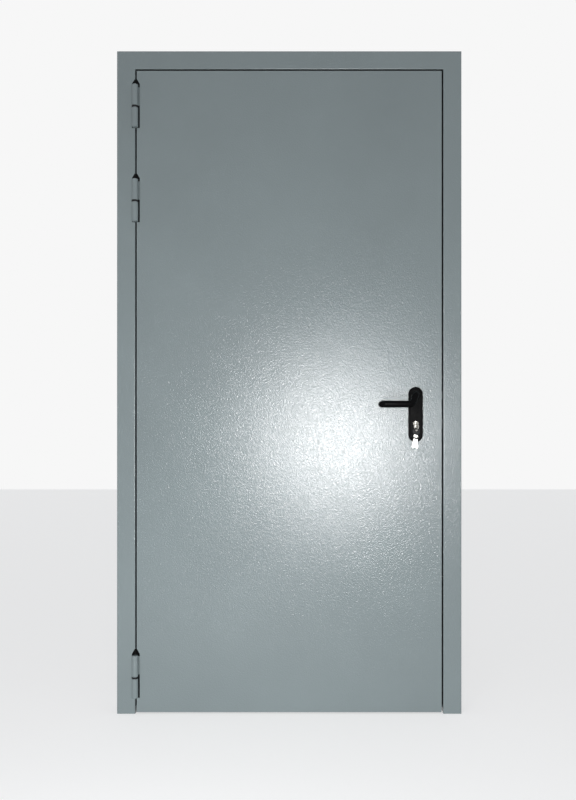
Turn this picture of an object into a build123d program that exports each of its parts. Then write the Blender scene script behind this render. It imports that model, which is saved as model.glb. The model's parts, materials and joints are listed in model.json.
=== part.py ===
from build123d import *
import math
import os

# A single steel fire door in its frame, all sizes in millimetres.
# X runs along the wall to the right, Y goes into the wall, Z is up.
# The origin is the centre of the threshold's underside, on the floor.

os.makedirs("parts", exist_ok=True)

# Driving sizes of the doorset
frame_width = 1092.0
frame_height = 2100.0
casing_width = 58.0
leaf_thickness = 56.0
leaf_gap = 5.0
floor_gap = 5.0
handle_height = 1011.0
handle_backset = 83.0
cylinder_distance = 92.0

# Frame section
sheet = 2.0
bend_radius = 3.0
casing_return = 12.0
stop_step = 20.0
stop_depth = 50.0
stop_clearance = 8.0
back_return = 16.0
seal_width = 12.0
seal_thickness = 3.0
threshold_height = 22.0
threshold_wall = 3.0
threshold_chamfer = 5.0

# Leaf
skin = 1.5
lock_edge_bevel = 2.5

# Hinges
barrel_radius = 10.0
upper_knuckle_length = 67.5
lower_knuckle_length = 62.0
barrel_chamfer = 1.5
bearing_gap = 5.0
pin_radius = 4.5
pin_reach = 45.0
pin_clearance = 0.08
collar_radius = 10.5
axis_proud = 4.0
axis_to_frame_side = 2.0
knuckle_clearance = 0.8
notch_reach = 14.0
notch_depth = 12.0
notch_relief = 19.0
notch_corner_width = 9.0
notch_corner_height = 15.0
pocket_sheet = 2.0
tab_thickness = 4.0
tab_behind_barrel = 2.0
tab_end_margin = 5.0
frame_tab_depth = 40.0
top_hinge_drop = 178.5
second_hinge_drop = 477.0
bottom_hinge_height = 116.0

# Handle set
plate_width = 46.0
plate_length = 174.0
plate_thickness = 10.0
plate_bevel = 2.5
plate_rim = 5.0
plate_step = 1.6
plate_step_bevel = 1.3
plate_top_to_spindle = 24.0
hub_radius = 16.5
hub_length = 7.0
hub_round = 2.0
hub_gap = 0.3
neck_radius = 10.0
neck_clearance = 0.08
grip_radius = 10.5
grip_drop = 32.0
grip_projection = 48.0
grip_reach = 119.0
elbow_reach = 28.0
elbow_side = 7.0
elbow_drop = 14.5
elbow_depth = 9.0
return_radius = 13.0
return_end_gap = 15.0
return_end_round = 3.0
spindle_side = 9.0
spindle_socket_depth = 30.0
spindle_hole_radius = 8.0

# Lock
case_height = 168.0
case_depth = 105.0
case_thickness = 15.0
faceplate_height = 235.0
faceplate_width = 24.0
faceplate_thickness = 3.0
latch_height = 20.0
latch_width = 14.0
dead_bolt_height = 26.0
dead_bolt_width = 12.0
bolt_length = 30.0
strike_height = 190.0
bolt_hole_margin = 3.0
strike_box_depth = 16.0
strike_box_sheet = 1.5

# Cylinder and keys
cylinder_radius = 8.5
cylinder_tang = 10.0
cylinder_height = 33.0
cylinder_proud = 3.0
cylinder_clearance = 0.2
plug_radius = 6.5
plug_length = 28.0
plug_clearance = 0.06
key_thickness = 2.4
slot_clearance = 0.05
blade_height = 8.0
blade_in_plug = 26.0
head_to_cylinder = 3.0
head_thickness = 2.2
head_width = 21.0
head_length = 20.0
head_round = 7.0
head_hole_radius = 4.1
head_hole_margin = 1.6
ring_radius = 8.5
ring_wire_radius = 1.0
ring_clearance = 1.3
ring_yaw = 44.0
hanging_key_count = 2
hanging_key_yaw = 92.0
hanging_key_pitch = 3.8
hanging_key_fan = 15.0
hanging_key_lean = -5.0
hanging_key_thickness = 1.4
shoulder_width = 10.0
collar_width = 14.0
window_margin = 1.6
window_width = 11.0
window_length = 7.3
collar_wall = 5.4
hanging_blade_width = 8.5
hanging_blade_length = 30.3
first_cut = 3.0
bit_cut_depth = 1.8
bit_cut_pitch = 5.0
bit_cut_count = 5

# Wall anchors
anchor_end_distance = 300.0
anchors_per_jamb = 3
anchor_width = 30.0
anchor_base = 22.0
anchor_reach = 28.0
anchor_sheet = 3.0
anchor_hole_radius = 5.5

# Planes and edges worked from the sizes above
stop_front = -stop_depth / 2
stop_back = stop_depth / 2
leaf_back = stop_front - stop_clearance
leaf_front = leaf_back - leaf_thickness
leaf_middle = (leaf_front + leaf_back) / 2
casing_front = leaf_front
section_depth = stop_back - casing_front
outer_x = frame_width / 2
opening_x = outer_x - casing_width
opening_top = frame_height - casing_width
clear_x = opening_x - stop_step
clear_top = opening_top - stop_step
leaf_x = opening_x - leaf_gap
leaf_top = opening_top - leaf_gap
axis_x = -(leaf_x + opening_x) / 2 - axis_to_frame_side
axis_y = leaf_front - axis_proud
notch_x = axis_x + notch_reach
half_gap = bearing_gap / 2
barrel_rise = half_gap + upper_knuckle_length
barrel_fall = half_gap + lower_knuckle_length
handle_x = leaf_x - handle_backset
plate_top = handle_height + plate_top_to_spindle
plate_z = plate_top - plate_length / 2
plate_face = leaf_front - plate_thickness
cylinder_z = handle_height - cylinder_distance
hinge_heights = [
    frame_height - top_hinge_drop,
    frame_height - second_hinge_drop,
    bottom_hinge_height,
]
anchor_pitch = (frame_height - 2 * anchor_end_distance) / (anchors_per_jamb - 1)
lock_z = (handle_height + cylinder_z) / 2
cylinder_face = plate_face - cylinder_proud
cylinder_back = 2 * leaf_middle - cylinder_face
half_sheet = sheet / 2
rebate_depth = stop_front - casing_front
across = Plane.YZ


def save(shape, node):
    """Write one node."""
    export_step(shape, f"parts/{node}.step")


def block(x, y, z):
    """A box from three (low, high) pairs."""
    size = (x[1] - x[0], y[1] - y[0], z[1] - z[0])
    middle = ((x[0] + x[1]) / 2, (y[0] + y[1]) / 2, (z[0] + z[1]) / 2)
    return Pos(*middle) * Box(*size)


def rod(centre, radius, start, end):
    """A round bar along Y about centre (x, z)."""
    base = Plane(origin=(centre[0], start, centre[1]), x_dir=(1, 0, 0), z_dir=(0, 1, 0))
    return extrude(base * Circle(radius), end - start)


def post(centre, radius, start, end):
    """A round bar along Z about centre (x, y)."""
    return Pos(centre[0], centre[1], start) * Cylinder(
        radius, end - start, align=(Align.CENTER, Align.CENTER, Align.MIN)
    )


def swap_sides(shape):
    """The same shape on the other face of the leaf."""
    return mirror(shape, about=Plane(origin=(0, leaf_middle, 0), z_dir=(0, 1, 0)))


# Frame: a casing angle and a stop channel, both bent from sheet and welded in the rebate's corner
def bent_sheet(corners):
    """A sheet bent along corners: first axis outward from the opening, second axis into the wall."""
    with BuildLine() as path:
        FilletPolyline(*corners, radius=bend_radius - sheet / 2)
    return trace(path.line, line_width=sheet)


casing_section = bent_sheet(
    [
        (casing_width - half_sheet, casing_return),
        (casing_width - half_sheet, half_sheet),
        (half_sheet, half_sheet),
        (half_sheet, rebate_depth),
    ]
)
stop_section = bent_sheet(
    [
        (sheet, rebate_depth + half_sheet),
        (half_sheet - stop_step, rebate_depth + half_sheet),
        (half_sheet - stop_step, section_depth - half_sheet),
        (back_return - stop_step, section_depth - half_sheet),
    ]
)
jamb_base = Plane(origin=(opening_x, casing_front, 0), x_dir=(1, 0, 0), z_dir=(0, 0, 1))
head_base = Plane(origin=(outer_x, casing_front, opening_top), x_dir=(0, 0, 1), z_dir=(-1, 0, 0))
mitre = Plane(origin=(outer_x, 0, frame_height), z_dir=(1, 0, -1))


def jamb_bar(section):
    """The section run up the lock side and cut to the mitre."""
    return split(extrude(jamb_base * section, frame_height), bisect_by=mitre, keep=Keep.TOP)


def head_bar(section):
    """The section run across the head and cut to both mitres."""
    bar = extrude(head_base * section, frame_width)
    bar = split(bar, bisect_by=mitre, keep=Keep.BOTTOM)
    return mirror(split(mirror(bar, about=across), bisect_by=mitre, keep=Keep.BOTTOM), about=across)


lock_jamb = jamb_bar(casing_section)
hinge_jamb = mirror(lock_jamb, about=across)
lock_stop = jamb_bar(stop_section)
save(head_bar(casing_section), "head")
save(head_bar(stop_section), "stop_head")
save(lock_stop, "stop_lock_side")
save(mirror(lock_stop, about=across), "stop_hinge_side")


# Hinge notches: open to the front, cut across the frame's edge and the leaf's edge
notch_outer_x = axis_x - barrel_radius - knuckle_clearance
notch_back_y = leaf_front + notch_depth


def hinge_notch(height, grow):
    """One notch with its top corners cut off, grown by grow on every face but the front."""
    low = height - barrel_fall - knuckle_clearance - grow
    top = height + barrel_rise + notch_relief + grow
    outline = Polyline(
        (notch_outer_x - grow, low),
        (notch_x + grow, low),
        (notch_x + grow, top - notch_corner_height),
        (notch_x + grow - notch_corner_width, top),
        (notch_outer_x - grow + notch_corner_width, top),
        (notch_outer_x - grow, top - notch_corner_height),
        close=True,
    )
    base = Plane(origin=(0, notch_back_y + grow, 0), x_dir=(1, 0, 0), z_dir=(0, -1, 0))
    return extrude(base * make_face(outline), notch_depth + sheet + grow)


def frame_tab(height):
    """The plate that carries a lower knuckle, flat on the hollow side of the rebate wall."""
    return block(
        (-opening_x - sheet - tab_thickness, -opening_x - sheet),
        (axis_y, casing_front + frame_tab_depth),
        (height - barrel_fall + tab_end_margin, height - half_gap - tab_end_margin),
    )


# Each notch in the hinge jamb has a tray behind it that closes it off
tray_space = block(
    (-outer_x, -opening_x), (casing_front + sheet, notch_back_y + pocket_sheet), (0, frame_height)
)
for height in hinge_heights:
    hinge_jamb += hinge_notch(height, pocket_sheet) & tray_space
    hinge_jamb -= hinge_notch(height, 0) + frame_tab(height)
save(hinge_jamb, "hinge_jamb")

# Lock jamb: the rebate wall is cut away at the lock, where a strike plate is welded in
strike_y = (casing_front + bend_radius, stop_front)
strike_z = (lock_z - strike_height / 2, lock_z + strike_height / 2)
save(lock_jamb - block((opening_x - sheet, opening_x + 2 * sheet), strike_y, strike_z), "lock_jamb")

# Strike plate: holes for the latch and the dead bolt, and a closed box behind them
strike_hole_x = (opening_x - sheet, opening_x + sheet)
latch_hole_half = latch_height / 2 + bolt_hole_margin
bolt_hole_half = dead_bolt_height / 2 + bolt_hole_margin
latch_hole_y = latch_width / 2 + bolt_hole_margin
bolt_hole_y = dead_bolt_width / 2 + bolt_hole_margin
box_back = opening_x + strike_box_depth
box_y = (leaf_middle - latch_hole_y, leaf_middle + latch_hole_y)
box_z = (cylinder_z - bolt_hole_half, handle_height + latch_hole_half)
strike_plate = block((opening_x, opening_x + sheet), strike_y, strike_z)
strike_plate += block(
    (opening_x, box_back + strike_box_sheet),
    (box_y[0] - strike_box_sheet, box_y[1] + strike_box_sheet),
    (box_z[0] - strike_box_sheet, box_z[1] + strike_box_sheet),
)
strike_plate -= block((opening_x + sheet, box_back), box_y, box_z)
strike_plate -= block(
    strike_hole_x,
    (leaf_middle - latch_hole_y, leaf_middle + latch_hole_y),
    (handle_height - latch_hole_half, handle_height + latch_hole_half),
)
strike_plate -= block(
    strike_hole_x,
    (leaf_middle - bolt_hole_y, leaf_middle + bolt_hole_y),
    (cylinder_z - bolt_hole_half, cylinder_z + bolt_hole_half),
)
save(strike_plate, "strike_plate")

# Threshold: a closed hollow section between the jambs
threshold = block((-clear_x, clear_x), (stop_front, stop_back), (0, threshold_height))
threshold = chamfer(threshold.edges().filter_by(Axis.X).group_by(Axis.Z)[-1], threshold_chamfer)
threshold -= block(
    (-clear_x, clear_x),
    (stop_front + threshold_wall, stop_back - threshold_wall),
    (threshold_wall, threshold_height - threshold_wall - threshold_chamfer / 2),
)
save(threshold, "threshold")

# Seals on the stop, facing the leaf
seal_x = (clear_x + stop_step / 2 - seal_width / 2, clear_x + stop_step / 2 + seal_width / 2)
seal_z = (clear_top + stop_step / 2 - seal_width / 2, clear_top + stop_step / 2 + seal_width / 2)
seal_y = (stop_front - seal_thickness, stop_front)
lock_seal = block(seal_x, seal_y, (threshold_height, seal_z[1]))
save(lock_seal, "seal_lock_side")
save(mirror(lock_seal, about=across), "seal_hinge_side")
save(block((-seal_x[0], seal_x[0]), seal_y, seal_z), "seal_head")

# Wall anchors: bent lugs on the hollow side of the reveal
for index in range(anchors_per_jamb):
    height = anchor_end_distance + index * anchor_pitch
    base_x = clear_x + sheet
    lug_y = -anchor_base / 2
    anchor = block(
        (base_x, base_x + anchor_sheet),
        (lug_y, lug_y + anchor_base),
        (height - anchor_width / 2, height + anchor_width / 2),
    )
    anchor += block(
        (base_x, base_x + anchor_reach),
        (lug_y + anchor_base - anchor_sheet, lug_y + anchor_base),
        (height - anchor_width / 2, height + anchor_width / 2),
    )
    hole_x = base_x + anchor_sheet + (anchor_reach - anchor_sheet) / 2
    anchor -= rod((hole_x, height), anchor_hole_radius, lug_y, lug_y + 2 * anchor_base)
    save(anchor, f"anchor_lock_{index + 1}")
    save(mirror(anchor, about=across), f"anchor_hinge_{index + 1}")


# Leaf: a folded front skin, a core and a flat back skin
def leaf_solid(inset):
    """The leaf, drawn in by inset on every face, with its hinge notches."""
    outline = Polyline(
        (-leaf_x + inset, leaf_front + inset),
        (leaf_x - inset, leaf_front + inset),
        (leaf_x - lock_edge_bevel - inset, leaf_back - inset),
        (-leaf_x + inset, leaf_back - inset),
        close=True,
    )
    base = floor_gap + inset
    solid = Pos(0, 0, base) * extrude(make_face(outline), leaf_top - inset - base)
    for height in hinge_heights:
        solid -= hinge_notch(height, inset)
    return solid


def cylinder_profile(grow):
    """The cylinder's outline in the XZ plane: a round head over a straight tang."""
    head_circle = Circle(cylinder_radius + grow)
    tang_low = cylinder_radius - cylinder_height + cylinder_tang / 2
    tang = Pos(0, tang_low / 2) * Rectangle(cylinder_tang + 2 * grow, -tang_low)
    foot = Pos(0, tang_low) * Circle(cylinder_tang / 2 + grow)
    return head_circle + tang + foot


def cylinder_bar(grow, start, end):
    """The cylinder's outline run along Y."""
    base = Plane(origin=(handle_x, end, cylinder_z), x_dir=(1, 0, 0), z_dir=(0, -1, 0))
    return extrude(base * cylinder_profile(grow), end - start)


whole_leaf = leaf_solid(0)
core = leaf_solid(skin)
back_slab = block(
    (-outer_x, outer_x), (leaf_back - skin, leaf_back + skin), (0, frame_height)
)
faceplate_block = block(
    (leaf_x - lock_edge_bevel - faceplate_thickness, outer_x),
    (leaf_middle - faceplate_width / 2, leaf_middle + faceplate_width / 2),
    (lock_z - faceplate_height / 2, lock_z + faceplate_height / 2),
)
case_edge = leaf_x - lock_edge_bevel - faceplate_thickness
case_block = block(
    (case_edge - case_depth, case_edge),
    (leaf_middle - case_thickness / 2, leaf_middle + case_thickness / 2),
    (lock_z - case_height / 2, lock_z + case_height / 2),
)
latch = block(
    (leaf_x - bolt_length, outer_x),
    (leaf_middle - latch_width / 2, leaf_middle + latch_width / 2),
    (handle_height - latch_height / 2, handle_height + latch_height / 2),
)
dead_bolt = block(
    (leaf_x - bolt_length, outer_x),
    (leaf_middle - dead_bolt_width / 2, leaf_middle + dead_bolt_width / 2),
    (cylinder_z - dead_bolt_height / 2, cylinder_z + dead_bolt_height / 2),
)
spindle_hole = rod((handle_x, handle_height), spindle_hole_radius, leaf_front - 1, leaf_back + 1)
cylinder_hole = cylinder_bar(cylinder_clearance, leaf_front - 1, leaf_back + 1)
cut_outs = spindle_hole + cylinder_hole

save(whole_leaf - core - back_slab - faceplate_block - cut_outs, "leaf_front_skin")
save((whole_leaf & back_slab) - cut_outs, "leaf_back_skin")
save(core - case_block - faceplate_block - cut_outs, "leaf_core")
save((whole_leaf & faceplate_block) - latch - dead_bolt, "lock_faceplate")
save(case_block - latch - dead_bolt - cut_outs, "lock_case")
save(whole_leaf & latch, "latch_bolt")
save(whole_leaf & dead_bolt, "dead_bolt")

# Hinges: the lower knuckle and pin on the frame, the upper knuckle on the leaf
barrel_centre = (axis_x, axis_y)
tab_back = axis_y + barrel_radius + tab_behind_barrel


def knuckle(low, high):
    """A barrel with chamfered ends."""
    barrel = post(barrel_centre, barrel_radius, low, high)
    return chamfer(barrel.edges().filter_by(GeomType.CIRCLE), barrel_chamfer)


for number, height in enumerate(hinge_heights, start=1):
    upper = knuckle(height + half_gap, height + barrel_rise)
    upper += block(
        (axis_x, notch_x),
        (tab_back - tab_thickness, tab_back),
        (height + half_gap + tab_end_margin, height + barrel_rise - tab_end_margin),
    )
    upper -= post(barrel_centre, pin_radius + pin_clearance, height, height + pin_reach)
    save(upper, f"hinge_upper_{number}")

    lower = knuckle(height - barrel_fall, height - half_gap)
    lower += frame_tab(height)
    lower -= post(barrel_centre, pin_radius + pin_clearance, height - pin_reach, height)
    save(lower, f"hinge_lower_{number}")

    pin = post(barrel_centre, pin_radius, height - pin_reach, height + pin_reach)
    pin += post(barrel_centre, collar_radius, height - half_gap, height + half_gap)
    save(pin, f"hinge_pin_{number}")

# Handle plates
plate_plane = Plane(origin=(handle_x, leaf_front, plate_z), x_dir=(0, 0, 1), z_dir=(0, -1, 0))
plate = extrude(plate_plane * SlotOverall(plate_length, plate_width), plate_thickness - plate_step)
plate = chamfer(plate.faces().sort_by(Axis.Y)[0].edges(), plate_bevel)
field = SlotOverall(plate_length - 2 * plate_rim, plate_width - 2 * plate_rim)
field = extrude(plate_plane * field, plate_thickness)
plate += chamfer(field.faces().sort_by(Axis.Y)[0].edges(), plate_step_bevel)
plate -= rod((handle_x, handle_height), neck_radius + neck_clearance, plate_face - 1, leaf_front + 1)
plate -= cylinder_bar(cylinder_clearance, plate_face - 1, leaf_front + 1)
save(plate, "plate_front")
save(swap_sides(plate), "plate_back")


# Levers: a hub and neck on the plate, and a round grip that drops, runs left and turns back
def lever():
    hub_back = plate_face - hub_gap
    hub_front = hub_back - hub_length
    grip_y = leaf_front - grip_projection
    grip_z = handle_height - grip_drop
    end_x = handle_x - grip_reach + grip_radius
    turn_x = end_x + return_radius
    with BuildLine() as path:
        Line((handle_x, hub_back, handle_height), (handle_x, hub_front, handle_height))
        Spline(
            (handle_x, hub_front, handle_height),
            (handle_x - elbow_side, grip_y + elbow_depth, handle_height - elbow_drop),
            (handle_x - elbow_reach, grip_y, grip_z),
            tangents=[(0, -1, 0), (-1, 0, 0)],
        )
        Line((handle_x - elbow_reach, grip_y, grip_z), (turn_x, grip_y, grip_z))
        RadiusArc((turn_x, grip_y, grip_z), (end_x, grip_y + return_radius, grip_z), return_radius)
        Line(
            (end_x, grip_y + return_radius, grip_z),
            (end_x, leaf_front - return_end_gap, grip_z),
        )
    start = Plane(origin=(handle_x, hub_back, handle_height), z_dir=(0, -1, 0))
    grip = sweep(start * Circle(grip_radius), path=path.line)
    grip = fillet(grip.faces().sort_by(Axis.X)[0].edges().sort_by(Axis.Y)[-1:], return_end_round)
    hub = rod((handle_x, handle_height), hub_radius, hub_front, hub_back)
    hub = fillet(hub.edges().filter_by(GeomType.CIRCLE).sort_by(Axis.Y)[0], hub_round)
    neck = rod((handle_x, handle_height), neck_radius, hub_back, leaf_front)
    return grip + hub + neck


socket = block(
    (handle_x - spindle_side / 2, handle_x + spindle_side / 2),
    (leaf_front - spindle_socket_depth, leaf_back + spindle_socket_depth),
    (handle_height - spindle_side / 2, handle_height + spindle_side / 2),
)
front_lever = lever() - socket
save(front_lever, "lever_front")
save(swap_sides(front_lever), "lever_back")
save(socket, "spindle")

# Cylinder, its plugs and the keys
plug_bore = rod(
    (handle_x, cylinder_z), plug_radius + plug_clearance, cylinder_face, cylinder_face + plug_length
)
cylinder_body = cylinder_bar(0, cylinder_face, cylinder_back) - plug_bore - swap_sides(plug_bore)
save(cylinder_body, "cylinder_body")

slot_height = blade_height + 2 * slot_clearance
key_slot = block(
    (handle_x - key_thickness / 2 - slot_clearance, handle_x + key_thickness / 2 + slot_clearance),
    (cylinder_face, cylinder_face + plug_length),
    (cylinder_z - slot_height / 2, cylinder_z + slot_height / 2),
)
plug = rod((handle_x, cylinder_z), plug_radius, cylinder_face, cylinder_face + plug_length) - key_slot
save(plug, "plug_front")
save(swap_sides(plug), "plug_back")


def strip(start, end, width):
    """A flat strip along +X."""
    return Pos((start + end) / 2, 0) * Rectangle(end - start, width)


def key_blade(start, length, width, cuts):
    """A blade along +X from start, with a pointed tip and bit cuts in its upper edge."""
    half = width / 2
    end = start + length
    blade = Polygon(
        (start, -half), (end - half, -half), (end, 0), (end - half, half), (start, half), align=None
    )
    for index in range(cuts):
        middle = start + first_cut + index * bit_cut_pitch
        blade -= Polygon(
            (middle - bit_cut_depth, half),
            (middle, half - bit_cut_depth),
            (middle + bit_cut_depth, half),
            align=None,
        )
    return blade


# Every key has a moulded head; each outline is drawn from the centre of the head's hole
head_hang = head_hole_radius - ring_wire_radius - ring_clearance
head_end = head_length - head_hole_radius - head_hole_margin
head = Pos(head_end - head_length / 2, 0) * RectangleRounded(head_length, head_width, head_round)
head -= Circle(head_hole_radius)

# The key in the lock, its flat faces to left and right
face_reach = head_end + head_to_cylinder
ring_y = cylinder_face - face_reach
key_outline = strip(head_end, face_reach, shoulder_width)
key_outline += key_blade(face_reach, blade_in_plug, blade_height, 0)
key_place = Plane(origin=(handle_x, ring_y, cylinder_z), x_dir=(0, 1, 0), z_dir=(1, 0, 0))
save(extrude(key_place * key_outline, key_thickness / 2, both=True), "key")
save(extrude(key_place * head, head_thickness / 2, both=True), "key_head")

# The split ring through that head, drawn as one closed ring turned partly sideways
ring_z = cylinder_z - head_hang - ring_radius
ring_angle = math.radians(ring_yaw)
ring_normal = (math.sin(ring_angle), math.cos(ring_angle), 0)
ring_plane = Plane(origin=(handle_x, ring_y, ring_z), z_dir=ring_normal)
save(Solid.make_torus(ring_radius, ring_wire_radius, plane=ring_plane), "key_ring")

# The keys that hang from the ring, facing the front and spread a little.
# Their heads have a collar, and a window in it that shows the metal.
window_start = head_end + window_margin
window_end = window_start + window_length
collar_end = window_end + collar_wall
window = strip(window_start, window_end, window_width)
metal = window + strip(window_end, collar_end, hanging_blade_width)
metal += key_blade(collar_end, hanging_blade_length, hanging_blade_width, bit_cut_count)
collared_head = head + strip(head_end - head_round, collar_end, collar_width) - window
key_angle = math.radians(hanging_key_yaw)
facing = Vector(math.cos(key_angle), -math.sin(key_angle), 0)
for index in range(hanging_key_count):
    side = index - (hanging_key_count - 1) / 2
    along = side * hanging_key_pitch
    wire_z = ring_z - math.sqrt(ring_radius**2 - along**2)
    hole = Vector(
        handle_x + along * math.cos(ring_angle), ring_y - along * math.sin(ring_angle), wire_z - head_hang
    )
    turn = hanging_key_lean - side * hanging_key_fan
    down = Vector(0, 0, -1).rotate(Axis((0, 0, 0), facing), turn)
    place = Plane(origin=hole, x_dir=down, z_dir=facing)
    hanging_key = extrude(place * metal, hanging_key_thickness / 2, both=True)
    hanging_head = extrude(place * collared_head, head_thickness / 2, both=True) - hanging_key
    save(hanging_key, f"hanging_key_{index + 1}")
    save(hanging_head, f"hanging_head_{index + 1}")
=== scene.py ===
import json
import math

import bmesh
import bpy
from mathutils import Matrix, Vector


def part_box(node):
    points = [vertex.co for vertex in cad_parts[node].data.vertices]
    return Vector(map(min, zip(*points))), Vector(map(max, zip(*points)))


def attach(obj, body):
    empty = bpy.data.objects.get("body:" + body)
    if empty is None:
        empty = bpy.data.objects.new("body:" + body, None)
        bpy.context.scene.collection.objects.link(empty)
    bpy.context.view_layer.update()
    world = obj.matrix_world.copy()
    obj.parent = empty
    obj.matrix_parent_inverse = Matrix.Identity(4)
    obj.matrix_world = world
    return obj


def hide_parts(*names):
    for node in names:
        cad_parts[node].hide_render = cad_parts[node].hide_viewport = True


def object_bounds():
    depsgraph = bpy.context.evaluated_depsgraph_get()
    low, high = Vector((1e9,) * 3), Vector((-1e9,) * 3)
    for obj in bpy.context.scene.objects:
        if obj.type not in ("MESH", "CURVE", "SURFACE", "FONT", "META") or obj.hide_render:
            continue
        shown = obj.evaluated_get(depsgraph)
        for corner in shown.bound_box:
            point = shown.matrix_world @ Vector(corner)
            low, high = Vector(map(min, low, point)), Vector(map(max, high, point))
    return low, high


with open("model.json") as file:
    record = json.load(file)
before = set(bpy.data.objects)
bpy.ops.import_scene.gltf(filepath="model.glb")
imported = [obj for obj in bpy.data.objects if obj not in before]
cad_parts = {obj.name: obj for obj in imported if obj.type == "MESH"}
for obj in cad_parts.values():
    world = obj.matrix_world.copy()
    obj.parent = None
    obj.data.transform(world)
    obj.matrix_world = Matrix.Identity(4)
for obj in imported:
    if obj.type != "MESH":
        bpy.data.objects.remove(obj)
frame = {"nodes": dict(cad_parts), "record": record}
cad_low, cad_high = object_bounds()
nodes = frame["nodes"]

MM = 0.001
SMOOTH_ANGLE = math.radians(32)
FLAT_ANGLE = math.radians(0.4)
BEVEL_SEGMENTS = 3
CAD_WELD = 2e-6
MITRE_WELD = 2e-5
NORMAL_TOLERANCE = 1e-3

# Sizes of the doorset that the added pieces fit
frame_sheet = 2.0 * MM
leaf_thickness = 56.0 * MM
lock_edge_lean = 2.5 * MM
notch_depth = 12.0 * MM
ring_wire_radius = 1.0 * MM
hinge_numbers = (1, 2, 3)


# Materials
def new_material(name):
    material = bpy.data.materials.new(name)
    material.use_nodes = True
    tree = material.node_tree
    return material, tree, tree.nodes["Principled BSDF"]


def object_coordinates(tree):
    return tree.nodes.new("ShaderNodeTexCoord").outputs["Object"]


def stretched_coordinates(tree, stretch):
    """Object coordinates scaled along X, Y and Z, so that what follows them is drawn out."""
    mapping = tree.nodes.new("ShaderNodeMapping")
    mapping.inputs["Scale"].default_value = stretch
    tree.links.new(object_coordinates(tree), mapping.inputs["Vector"])
    return mapping.outputs["Vector"]


def noise(tree, source, scale, detail=2.0, roughness=0.5):
    node = tree.nodes.new("ShaderNodeTexNoise")
    node.inputs["Scale"].default_value = scale
    node.inputs["Detail"].default_value = detail
    node.inputs["Roughness"].default_value = roughness
    tree.links.new(source, node.inputs["Vector"])
    return node.outputs["Fac"]


def spread(tree, value, low, high, out_low, out_high):
    """Map value from low..high to out_low..out_high, held at the ends."""
    node = tree.nodes.new("ShaderNodeMapRange")
    node.inputs["From Min"].default_value = low
    node.inputs["From Max"].default_value = high
    node.inputs["To Min"].default_value = out_low
    node.inputs["To Max"].default_value = out_high
    tree.links.new(value, node.inputs["Value"])
    return node.outputs["Result"]


def blend_colours(tree, factor, first, second):
    """From first, a colour or a socket, to second, a colour, as factor goes from 0 to 1."""
    node = tree.nodes.new("ShaderNodeMix")
    node.data_type = "RGBA"
    tree.links.new(factor, node.inputs["Factor"])
    first_socket, second_socket = node.inputs[6], node.inputs[7]
    if isinstance(first, tuple):
        first_socket.default_value = (*first, 1.0)
    else:
        tree.links.new(first, first_socket)
    second_socket.default_value = (*second, 1.0)
    return node.outputs[2]


def mottle(tree, value, first, second, low=0.3, high=0.7):
    """A colour that wanders between two colours with a noise."""
    return blend_colours(tree, spread(tree, value, low, high, 0.0, 1.0), first, second)


def uneven_gloss(tree, shader, value, rough):
    """Roughness that wanders over the range rough with a noise."""
    tree.links.new(spread(tree, value, 0.3, 0.7, *rough), shader.inputs["Roughness"])


def bump(tree, shader, height, strength, distance):
    node = tree.nodes.new("ShaderNodeBump")
    node.inputs["Strength"].default_value = strength
    node.inputs["Distance"].default_value = distance
    tree.links.new(height, node.inputs["Height"])
    tree.links.new(node.outputs["Normal"], shader.inputs["Normal"])


def srgb(red, green, blue):
    """Linear colour from 0..255 display values."""
    linear = []
    for value in (red, green, blue):
        share = value / 255
        linear.append(share / 12.92 if share <= 0.04045 else ((share + 0.055) / 1.055) ** 2.4)
    return tuple(linear)


def shade(colour, factor):
    """The colour made darker or lighter by a factor."""
    return tuple(min(1.0, channel * factor) for channel in colour)


def paint(name, colour, drift):
    """Gloss sprayed paint: an orange peel that breaks up reflections, over slow changes of tone."""
    material, tree, shader = new_material(name)
    place = object_coordinates(tree)
    slow = noise(tree, place, scale=2.3 + drift, detail=3.0, roughness=0.55)
    tone = mottle(tree, slow, shade(colour, 0.95), shade(colour, 1.05))
    speck = noise(tree, place, scale=900.0, detail=1.0)
    pale_flecks = spread(tree, speck, 0.66, 0.78, 0.0, 0.35)
    tone = blend_colours(tree, pale_flecks, tone, shade(colour, 1.22))
    tree.links.new(tone, shader.inputs["Base Color"])
    cloud = noise(tree, place, scale=5.0)
    uneven_gloss(tree, shader, cloud, rough=(0.20, 0.23))
    peel = noise(tree, place, scale=355.0, detail=1.0, roughness=0.4)
    bump(tree, shader, peel, strength=0.58, distance=1.0 * MM)
    return material


def plastic(name, colour, rough):
    """Moulded plastic with a fine grain and slightly uneven gloss."""
    material, tree, shader = new_material(name)
    shader.inputs["Specular IOR Level"].default_value = 0.04
    place = object_coordinates(tree)
    worn = noise(tree, place, scale=60.0, detail=4.0, roughness=0.6)
    tone = mottle(tree, worn, colour, shade(colour, 1.5), low=0.35)
    tree.links.new(tone, shader.inputs["Base Color"])
    uneven_gloss(tree, shader, worn, rough)
    grain = noise(tree, place, scale=2200.0, detail=1.0)
    bump(tree, shader, grain, strength=0.12, distance=0.1 * MM)
    return material


def metal(name, colour, rough, mark_scale=160.0, stretch=(1.0, 1.0, 1.0)):
    """Plated metal with fine uneven scratches."""
    material, tree, shader = new_material(name)
    place = stretched_coordinates(tree, stretch)
    marks = noise(tree, place, scale=mark_scale, detail=4.0, roughness=0.65)
    tone = mottle(tree, marks, shade(colour, 0.85), colour)
    tree.links.new(tone, shader.inputs["Base Color"])
    uneven_gloss(tree, shader, marks, rough)
    shader.inputs["Metallic"].default_value = 1.0
    bump(tree, shader, marks, strength=0.1, distance=0.1 * MM)
    return material


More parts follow.
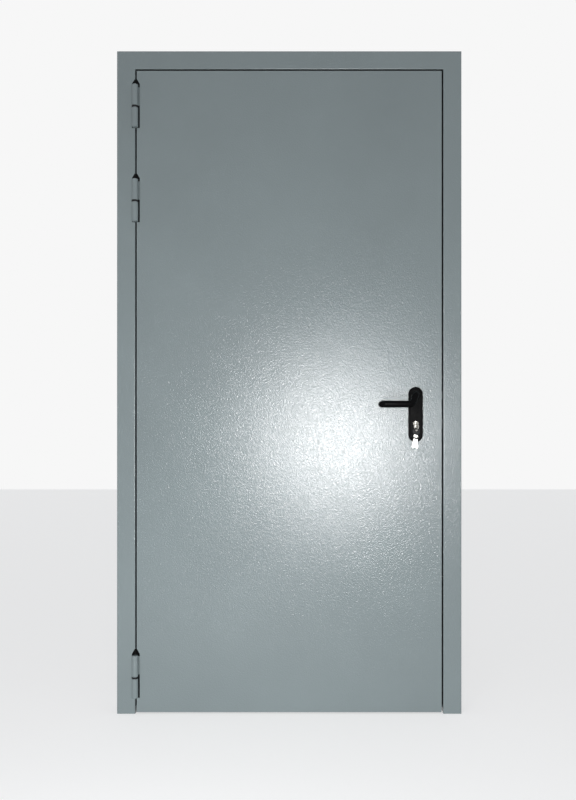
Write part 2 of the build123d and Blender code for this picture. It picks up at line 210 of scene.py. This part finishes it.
def fibre(name, colour):
    """Pressed mineral fibre."""
    material, tree, shader = new_material(name)
    place = stretched_coordinates(tree, (1.0, 6.0, 1.0))
    strands = noise(tree, place, scale=180.0, detail=6.0, roughness=0.7)
    tone = mottle(tree, strands, shade(colour, 0.7), colour)
    tree.links.new(tone, shader.inputs["Base Color"])
    shader.inputs["Roughness"].default_value = 0.95
    bump(tree, shader, strands, strength=0.6, distance=1.0 * MM)
    return material


def rubber(name, colour):
    """Matt strip with a fine grain."""
    material, tree, shader = new_material(name)
    grain = noise(tree, object_coordinates(tree), scale=700.0, detail=3.0, roughness=0.6)
    tone = mottle(tree, grain, colour, shade(colour, 1.6))
    tree.links.new(tone, shader.inputs["Base Color"])
    shader.inputs["Roughness"].default_value = 0.8
    shader.inputs["Specular IOR Level"].default_value = 0.25
    bump(tree, shader, grain, strength=0.3, distance=0.3 * MM)
    return material


door_grey = srgb(125, 136, 138)
finishes = {
    "frame_paint": paint("frame_paint", door_grey, drift=0.4),
    "leaf_paint": paint("leaf_paint", door_grey, drift=0.0),
    "black_plastic": plastic("black_plastic", srgb(6, 6, 7), rough=(0.16, 0.24)),
    "cylinder_metal": metal("cylinder_metal", srgb(138, 136, 131), rough=(0.12, 0.17)),
    "key_metal": metal("key_metal", srgb(222, 220, 214), rough=(0.42, 0.52)),
    "zinc_steel": metal(
        "zinc_steel", srgb(188, 190, 192), rough=(0.34, 0.5), mark_scale=90.0, stretch=(1.0, 1.0, 0.2)
    ),
    "mineral_core": fibre("mineral_core", srgb(170, 160, 130)),
    # Near-black rubber of the notch sheets and rebate strips, which are painted shade
    "seal_strip": rubber("seal_strip", srgb(12, 12, 13)),
    # Near-black steel of the hinge pins and collars, which makes the gap between the knuckles dark
    "black_steel": metal("black_steel", srgb(48, 48, 50), rough=(0.35, 0.55), mark_scale=140.0),
}
node_slots = {entry["node"]: entry["material_slot"] for entry in frame["record"]["subparts"]}
node_body = {}
for body, members in frame["record"]["behaviour"]["bodies"].items():
    for member in members:
        node_body[member] = body


# Mesh helpers
def smooth(mesh_data):
    """Smooth shading, with the sharp edges kept sharp."""
    mesh_data.shade_smooth()
    mesh_data.set_sharp_from_angle(angle=SMOOTH_ANGLE)


def from_bmesh(name, solid, slot, body):
    """A new piece from a bmesh, with its finish and the body that it rides on."""
    mesh_data = bpy.data.meshes.new(name)
    solid.to_mesh(mesh_data)
    solid.free()
    smooth(mesh_data)
    mesh_data.materials.append(finishes[slot])
    piece = bpy.data.objects.new(name, mesh_data)
    bpy.context.scene.collection.objects.link(piece)
    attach(piece, body)
    return piece


def add_bevel(piece, width):
    bevel = piece.modifiers.new("edges", "BEVEL")
    bevel.width = width
    bevel.segments = BEVEL_SEGMENTS
    bevel.limit_method = "ANGLE"
    bevel.angle_limit = SMOOTH_ANGLE
    bevel.use_clamp_overlap = True
    normals = piece.modifiers.new("normals", "WEIGHTED_NORMAL")
    normals.weight = 100
    normals.keep_sharp = True


def cad_solid(*names):
    """One welded bmesh of the named nodes."""
    solid = bmesh.new()
    for name in names:
        solid.from_mesh(nodes[name].data)
    bmesh.ops.remove_doubles(solid, verts=solid.verts, dist=CAD_WELD)
    return solid


def join_flat(solid):
    """Join the triangles of each flat face."""
    bmesh.ops.dissolve_limit(solid, angle_limit=FLAT_ANGLE, verts=solid.verts, edges=solid.edges)


def refined(name, node, width):
    """The CAD node again with softened edges."""
    solid = cad_solid(node)
    join_flat(solid)
    piece = from_bmesh(name, solid, node_slots[node], node_body[node])
    add_bevel(piece, width)
    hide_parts(node)


def ring_walls(solid, first, second):
    """Quads between two closed rings of as many vertices."""
    for index in range(len(first)):
        after = (index + 1) % len(first)
        solid.faces.new((first[index], first[after], second[after], second[index]))


# Every CAD node gets its finish, also where a piece replaces it
for name, node in nodes.items():
    node.data.materials.clear()
    node.data.materials.append(finishes[node_slots[name]])
    smooth(node.data)


# Frame: casing angles and stop channels, each joined round the opening with the mitres ground flush
def on_a_mitre(face):
    """True for a face in the slanting plane where two members meet."""
    centre = face.calc_center_median()
    in_plane = abs((abs(centre.x) - cad_high.x) - (centre.z - cad_high.z)) < MITRE_WELD
    slanting = abs(abs(face.normal.x) - abs(face.normal.z)) < NORMAL_TOLERANCE
    square_to_wall = abs(face.normal.y) < NORMAL_TOLERANCE
    return in_plane and slanting and square_to_wall and abs(face.normal.x) > 0.5


def mitred_shell(name, members, width):
    shell = cad_solid(*members)
    mitre_faces = [face for face in shell.faces if on_a_mitre(face)]
    bmesh.ops.delete(shell, geom=mitre_faces, context="FACES")
    bmesh.ops.remove_doubles(shell, verts=shell.verts, dist=MITRE_WELD)
    join_flat(shell)
    piece = from_bmesh(name, shell, "frame_paint", "frame")
    add_bevel(piece, width)
    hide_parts(*members)


sheet_edge = 0.5 * MM
mitred_shell("casing_shell", ("hinge_jamb", "head", "lock_jamb"), sheet_edge)
mitred_shell("stop_shell", ("stop_hinge_side", "stop_head", "stop_lock_side"), sheet_edge)

# Other sheet and machined pieces, with the width of their softened edges in millimetres
soft_edges = {
    "leaf_front_skin": 1.0,
    "leaf_back_skin": 0.4,
    "threshold": 0.8,
    "strike_plate": 0.3,
    "lock_faceplate": 0.4,
    "latch_bolt": 0.6,
    "dead_bolt": 0.6,
    "plate_front": 0.6,
    "plate_back": 0.6,
    "lever_front": 0.4,
    "lever_back": 0.4,
    "key": 0.3,
    "key_head": 0.7,
    "hanging_head_1": 0.7,
    "hanging_head_2": 0.7,
    "hanging_key_1": 0.25,
    "hanging_key_2": 0.25,
}
for number in hinge_numbers:
    soft_edges[f"hinge_upper_{number}"] = 0.5
    soft_edges[f"hinge_lower_{number}"] = 0.5
    soft_edges[f"anchor_hinge_{number}"] = 0.4
    soft_edges[f"anchor_lock_{number}"] = 0.4
for node, width in soft_edges.items():
    refined(f"{node}_piece", node, width * MM)


# Hinge notches: a thin near-black sheet over the walls of each one, shaped as a glued-in swelling strip
# and put there as painted shade, so that the notch reads dark
def inside(point, low, high):
    return all(low[axis] <= point[axis] <= high[axis] for axis in range(3))


def notch_shade_sheet(name, node, low, high, thickness, body):
    """A skin over the node's faces that lie between low and high."""
    shade_sheet = cad_solid(node)
    away = []
    for face in shade_sheet.faces:
        if not all(inside(corner.co, low, high) for corner in face.verts):
            away.append(face)
    bmesh.ops.delete(shade_sheet, geom=away, context="FACES")
    join_flat(shade_sheet)
    outer = bmesh.ops.extrude_face_region(shade_sheet, geom=shade_sheet.faces[:])
    moved = [item for item in outer["geom"] if isinstance(item, bmesh.types.BMVert)]
    shade_sheet.normal_update()
    shifts = {corner: corner.normal * corner.calc_shell_factor() * thickness for corner in moved}
    for corner, shift in shifts.items():
        corner.co += shift
    bmesh.ops.recalc_face_normals(shade_sheet, faces=shade_sheet.faces)
    # The sheet takes the near-black seal_strip finish: painted shade inside the notch
    from_bmesh(name, shade_sheet, "seal_strip", body)


leaf_shade_sheet = 0.4 * MM
frame_shade_sheet = 0.3 * MM
below_hinge = 3 * MM
above_hinge = 20 * MM
beside_hinge = 2 * MM
short_of_leaf = 4 * MM
near = 0.1 * MM
face_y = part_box("leaf_front_skin")[0].y
hinge_edge_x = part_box("leaf_front_skin")[0].x
notch_front = face_y - near
notch_back = face_y + notch_depth + near
for number in hinge_numbers:
    lower_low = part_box(f"hinge_lower_{number}")[0]
    upper_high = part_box(f"hinge_upper_{number}")[1]
    bottom = lower_low.z - below_hinge
    top = upper_high.z + above_hinge
    notch_shade_sheet(
        f"leaf_notch_shade_sheet_{number}",
        "leaf_front_skin",
        (hinge_edge_x - near, notch_front, bottom),
        (upper_high.x + near, notch_back, top),
        leaf_shade_sheet,
        "leaf",
    )
    notch_shade_sheet(
        f"frame_notch_shade_sheet_{number}",
        "hinge_jamb",
        (lower_low.x - beside_hinge, notch_front, bottom),
        (hinge_edge_x - short_of_leaf, notch_back, top),
        frame_shade_sheet,
        "frame",
    )


# Split ring: two coils of flattened wire side by side
def rounded_corner(angle, half_width, half_height):
    """A point of a rounded rectangle, at angle round its middle."""
    squareness = 0.6
    across = math.copysign(abs(math.cos(angle)) ** squareness, math.cos(angle))
    up = math.copysign(abs(math.sin(angle)) ** squareness, math.sin(angle))
    return half_width * across, half_height * up


def split_ring(name, node, yaw):
    low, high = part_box(node)
    centre = (low + high) / 2
    mean_radius = (high.z - low.z) / 2 - ring_wire_radius
    coil_pitch = 0.98 * MM
    wire_half_width = 0.72 * MM
    wire_half_height = 0.45 * MM
    start_angle = 1.9
    turn = math.radians(690)
    crossing_start_degrees = 325
    crossing_degrees = 50
    steps = 150
    sides = 10
    along = Vector((math.cos(yaw), -math.sin(yaw), 0.0))
    across = Vector((math.sin(yaw), math.cos(yaw), 0.0))
    coil = bmesh.new()
    rings = []
    for step in range(steps + 1):
        angle = turn * step / steps
        past_start = math.degrees(angle) - crossing_start_degrees
        share = min(1.0, max(0.0, past_start / crossing_degrees))
        eased = share * share * (3 - 2 * share)
        offset = (eased - 0.5) * coil_pitch
        rise = Vector((0.0, 0.0, math.sin(angle + start_angle)))
        direction = along * math.cos(angle + start_angle) + rise
        ring = []
        for side in range(sides):
            out, sideways = rounded_corner(2 * math.pi * side / sides, wire_half_width, wire_half_height)
            place = centre + direction * (mean_radius + out) + across * (offset + sideways)
            ring.append(coil.verts.new(place))
        rings.append(ring)
    for first, second in zip(rings, rings[1:]):
        ring_walls(coil, first, second)
    coil.faces.new(rings[0][::-1])
    coil.faces.new(rings[-1])
    bmesh.ops.recalc_face_normals(coil, faces=coil.faces)
    piece = from_bmesh(name, coil, node_slots[node], node_body[node])
    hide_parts(node)


ring_yaw = math.radians(44)
split_ring("key_ring_coil", "key_ring", ring_yaw)


# Small fasteners: raised screw heads with a cross recess
def cross_screw(name, place, axis, radius, body):
    """A domed screw head on the face at place, its axis pointing out of that face."""
    arm = radius * 0.13
    reach = radius * 0.54
    rise = radius * 0.22
    recess_foot = radius * 0.03
    recess_taper = 0.8
    steps = 32
    head = bmesh.new()
    cross = [
        (arm, arm), (arm, reach), (-arm, reach), (-arm, arm), (-reach, arm), (-reach, -arm),
        (-arm, -arm), (-arm, -reach), (arm, -reach), (arm, -arm), (reach, -arm), (reach, arm),
    ]
    mouth = [head.verts.new((x, y, rise)) for x, y in cross]
    foot = [head.verts.new((x * recess_taper, y * recess_taper, recess_foot)) for x, y in cross]
    ring_walls(head, mouth, foot)
    head.faces.new(foot)
    dome = ((0.64, 1.0), (0.8, 0.84), (0.93, 0.52), (1.0, 0.1), (1.0, -0.3))
    rings = []
    for share, level in dome:
        ring = []
        for step in range(steps):
            angle = 2 * math.pi * step / steps
            corner = (math.cos(angle) * radius * share, math.sin(angle) * radius * share, rise * level)
            ring.append(head.verts.new(corner))
        rings.append(ring)
    for inner, outer in zip(rings, rings[1:]):
        ring_walls(head, inner, outer)
    head.faces.new(rings[-1])
    crown_edges = []
    for loop in (rings[0], mouth):
        for index in range(len(loop)):
            crown_edges.append(head.edges.get((loop[index], loop[(index + 1) % len(loop)])))
    bmesh.ops.triangle_fill(head, use_beauty=True, use_dissolve=False, edges=crown_edges)
    bmesh.ops.recalc_face_normals(head, faces=head.faces)
    turned = Vector(axis).normalized().to_track_quat("Z", "Y").to_matrix().to_4x4()
    bmesh.ops.transform(head, matrix=Matrix.Translation(Vector(place)) @ turned, verts=head.verts)
    from_bmesh(name, head, "zinc_steel", body)


screw_proud = 0.05 * MM
faceplate_screw = 4.2 * MM
cylinder_screw = 3.0 * MM
plate_screw = 3.6 * MM
threshold_screw = 5.0 * MM
faceplate_margin = 9 * MM
cylinder_screw_rise = 4 * MM
plate_screw_rises = (("low", 14 * MM), ("high", 92 * MM))
threshold_screw_pitch = 0.36
threshold_screw_count = 3

face_low, face_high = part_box("lock_faceplate")
lock_edge_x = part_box("leaf_front_skin")[1].x - lock_edge_lean / 2 + screw_proud
lock_edge_y = (face_low.y + face_high.y) / 2
lock_edge_out = (1.0, lock_edge_lean / leaf_thickness, 0.0)
screw_heights = (
    ("low", face_low.z + faceplate_margin, faceplate_screw),
    ("high", face_high.z - faceplate_margin, faceplate_screw),
    ("cylinder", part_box("cylinder_body")[0].z + cylinder_screw_rise, cylinder_screw),
)
for label, height, radius in screw_heights:
    place = (lock_edge_x, lock_edge_y, height)
    cross_screw(f"lock_screw_{label}", place, lock_edge_out, radius, "leaf")
plate_low, plate_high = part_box("plate_back")
plate_middle = (plate_low.x + plate_high.x) / 2
for label, plate_rise in plate_screw_rises:
    place = (plate_middle, plate_high.y + screw_proud, plate_low.z + plate_rise)
    cross_screw(f"plate_screw_{label}", place, (0.0, 1.0, 0.0), plate_screw, "leaf")
threshold_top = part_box("threshold")[1].z
for index in range(threshold_screw_count):
    steps_from_middle = index - (threshold_screw_count - 1) / 2
    place = (steps_from_middle * threshold_screw_pitch, 0.0, threshold_top + screw_proud)
    cross_screw(f"threshold_screw_{index + 1}", place, (0.0, 0.0, 1.0), threshold_screw, "frame")


# Near-black strips on the rebate walls, shaped as swelling seals, broken at the hinge notches and
# narrowed beside the bolt holes: painted shade that darkens the seams round the leaf
def seam_shade_strip(name, low, high, along):
    """A strip on a rebate wall, with stepped edges and two shallow lines along it."""
    length_axis = "XYZ".index(along)
    thin_axis = 2 if along == "X" else 0
    wide_axis = 1
    width = high[wide_axis] - low[wide_axis]
    thickness = high[thin_axis] - low[thin_axis]
    wall = max(low[thin_axis], high[thin_axis], key=abs)
    toward_opening = -thickness if wall > 0 else thickness
    half_profile = ((0.0, 0.0), (0.0, 0.6), (0.06, 1.0), (0.3, 1.0), (0.34, 0.6), (0.38, 1.0))
    profile = list(half_profile) + [(1.0 - across, up) for across, up in reversed(half_profile)]
    solid = bmesh.new()
    rings = []
    for end in (low[length_axis], high[length_axis]):
        ring = []
        for across, up in profile:
            place = [0.0, 0.0, 0.0]
            place[length_axis] = end
            place[wide_axis] = low[wide_axis] + across * width
            place[thin_axis] = wall + up * toward_opening
            ring.append(solid.verts.new(place))
        rings.append(ring)
    ring_walls(solid, *rings)
    solid.faces.new(rings[0][::-1])
    solid.faces.new(rings[1])
    bmesh.ops.recalc_face_normals(solid, faces=solid.faces)
    # The strip takes the near-black seal_strip finish: painted shade in the seam
    from_bmesh(name, solid, "seal_strip", "frame")


rebate_x = -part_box("stop_hinge_side")[0].x - frame_sheet
rebate_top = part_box("stop_head")[1].z - frame_sheet
seal_thickness = 0.8 * MM
corner_gap = 1.5 * MM
above_threshold = 2 * MM
above_notch = 21 * MM
seal_front = face_y + 2.5 * MM
seal_back = face_y + 27 * MM
seal_front_at_notch = face_y + 12.6 * MM
seal_back_at_bolts = face_y + 16 * MM
# The head strip starts nearer the face, so that more of the head seam is painted shade
head_shade_strip_front = face_y + 1.0 * MM
seal_foot = threshold_top + above_threshold
seal_top = rebate_top - corner_gap

heights = [seal_foot]
for number in reversed(hinge_numbers):
    heights.append(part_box(f"hinge_lower_{number}")[0].z - below_hinge)
    heights.append(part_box(f"hinge_upper_{number}")[1].z + above_notch)
heights.append(seal_top)
for index, (low_end, high_end) in enumerate(zip(heights, heights[1:])):
    at_notch = index % 2 == 1
    seam_shade_strip(
        f"rebate_shade_strip_hinge_{index + 1}",
        (-rebate_x, seal_front_at_notch if at_notch else seal_front, low_end),
        (-rebate_x + seal_thickness, seal_back, high_end),
        "Z",
    )
strike_low, strike_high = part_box("strike_plate")
lock_ends = (seal_foot, strike_low.z, strike_high.z, seal_top)
for index, (low_end, high_end) in enumerate(zip(lock_ends, lock_ends[1:])):
    at_bolts = index == 1
    seam_shade_strip(
        f"rebate_shade_strip_lock_{index + 1}",
        (rebate_x - seal_thickness, seal_front, low_end),
        (rebate_x, seal_back_at_bolts if at_bolts else seal_back, high_end),
        "Z",
    )
seam_shade_strip(
    "rebate_shade_strip_head",
    (-rebate_x + corner_gap, head_shade_strip_front, rebate_top - seal_thickness),
    (rebate_x - corner_gap, seal_back, rebate_top),
    "X",
)


# Floor and world: pale where they are seen or mirrored, plain soft light where they light the object
def seen_directly(tree):
    """1 for the camera, for reflections and through clear things, 0 for light on the object."""
    path_kind = tree.nodes.new("ShaderNodeLightPath")
    direct = path_kind.outputs["Is Camera Ray"]
    for kind in ("Is Glossy Ray", "Is Transmission Ray"):
        either = tree.nodes.new("ShaderNodeMath")
        either.operation = "MAXIMUM"
        tree.links.new(direct, either.inputs[0])
        tree.links.new(path_kind.outputs[kind], either.inputs[1])
        direct = either.outputs["Value"]
    return direct


def grey(level):
    return (level, level, level, 1.0)


floor_reach = 12.0
floor_tone = 0.45
floor_glow = 0.55
floor_roughness = 0.9
floor_mesh = bpy.data.meshes.new("floor")
floor_corners = [
    (-floor_reach, -floor_reach, 0.0),
    (floor_reach, -floor_reach, 0.0),
    (floor_reach, floor_reach, 0.0),
    (-floor_reach, floor_reach, 0.0),
]
floor_mesh.from_pydata(floor_corners, [], [(0, 1, 2, 3)])
floor = bpy.data.objects.new("floor", floor_mesh)
bpy.context.scene.collection.objects.link(floor)
floor_material, floor_tree, floor_shader = new_material("floor")
floor_shader.inputs["Base Color"].default_value = grey(floor_tone)
floor_shader.inputs["Roughness"].default_value = floor_roughness
floor_shader.inputs["Emission Color"].default_value = grey(1.0)
glow = floor_tree.nodes.new("ShaderNodeMath")
glow.operation = "MULTIPLY"
glow.inputs[1].default_value = floor_glow
floor_tree.links.new(seen_directly(floor_tree), glow.inputs[0])
floor_tree.links.new(glow.outputs["Value"], floor_shader.inputs["Emission Strength"])
floor_mesh.materials.append(floor_material)

sky_light = (0.93, 0.96, 1.0, 1.0)
sky_light_strength = 0.43
backdrop_tone = 0.93
world = bpy.data.worlds.new("world")
bpy.context.scene.world = world
world.use_nodes = True
world_tree = world.node_tree
world_tree.nodes.clear()
world_out = world_tree.nodes.new("ShaderNodeOutputWorld")
lit = world_tree.nodes.new("ShaderNodeBackground")
lit.inputs["Color"].default_value = sky_light
lit.inputs["Strength"].default_value = sky_light_strength
seen = world_tree.nodes.new("ShaderNodeBackground")
seen.inputs["Color"].default_value = grey(backdrop_tone)
seen.inputs["Strength"].default_value = 1.0
mixer = world_tree.nodes.new("ShaderNodeMixShader")
world_tree.links.new(seen_directly(world_tree), mixer.inputs["Fac"])
world_tree.links.new(lit.outputs["Background"], mixer.inputs[1])
world_tree.links.new(seen.outputs["Background"], mixer.inputs[2])
world_tree.links.new(mixer.outputs["Shader"], world_out.inputs["Surface"])


# Lamps: a flash just behind the lens, its mirrored glare, and a low lamp for the foot of the door
def area_light(name, place, target, size, power):
    data = bpy.data.lights.new(name, "AREA")
    data.shape = "DISK"
    data.size = size
    data.energy = power
    lamp = bpy.data.objects.new(name, data)
    lamp.location = place
    direction = Vector(target) - Vector(place)
    lamp.rotation_euler = direction.to_track_quat("-Z", "Y").to_euler()
    bpy.context.scene.collection.objects.link(lamp)
    return lamp


eye_x = 0.151
eye_z = 0.858
flash_distance = 2.7
flash_place = (eye_x, -flash_distance, eye_z)
flash_target = (eye_x, 0.0, eye_z)
low_lamp_place = (-0.33, -1.8, 0.08)
low_lamp_target = (-0.2, 0.0, 0.0)
area_light("key_light", flash_place, flash_target, size=0.5, power=25.0)
low_fill = area_light("low_fill", low_lamp_place, low_lamp_target, size=0.6, power=23.0)
low_fill.visible_camera = False
low_fill.visible_glossy = False
glare = area_light("glare", flash_place, flash_target, size=0.3, power=35.5)
glare.visible_diffuse = False

# The lens looks square at the door from in front of the glare's middle, its frame shifted over the door
image_width = 576
image_height = 800
scale_at_face = 3.168 * MM
frame_centre_column = 289.2
floor_row = 713.8
eye_distance = 2.5
sensor_height = 36.0
view_height = image_height * scale_at_face
middle_x = (image_width / 2 - frame_centre_column) * scale_at_face
middle_z = (floor_row - image_height / 2) * scale_at_face
camera_data = bpy.data.cameras.new("camera")
camera_data.sensor_fit = "VERTICAL"
camera_data.sensor_height = sensor_height
camera_data.lens = sensor_height * eye_distance / view_height
camera_data.shift_x = (middle_x - eye_x) / view_height
camera_data.shift_y = (middle_z - eye_z) / view_height
camera_data.clip_start = 0.05
camera_data.clip_end = 100.0
camera = bpy.data.objects.new("camera", camera_data)
camera.location = (eye_x, face_y - eye_distance, eye_z)
camera.rotation_euler = (math.radians(90), 0.0, 0.0)
bpy.context.scene.collection.objects.link(camera)
bpy.context.scene.camera = camera

bpy.context.scene.view_settings.view_transform = "Standard"
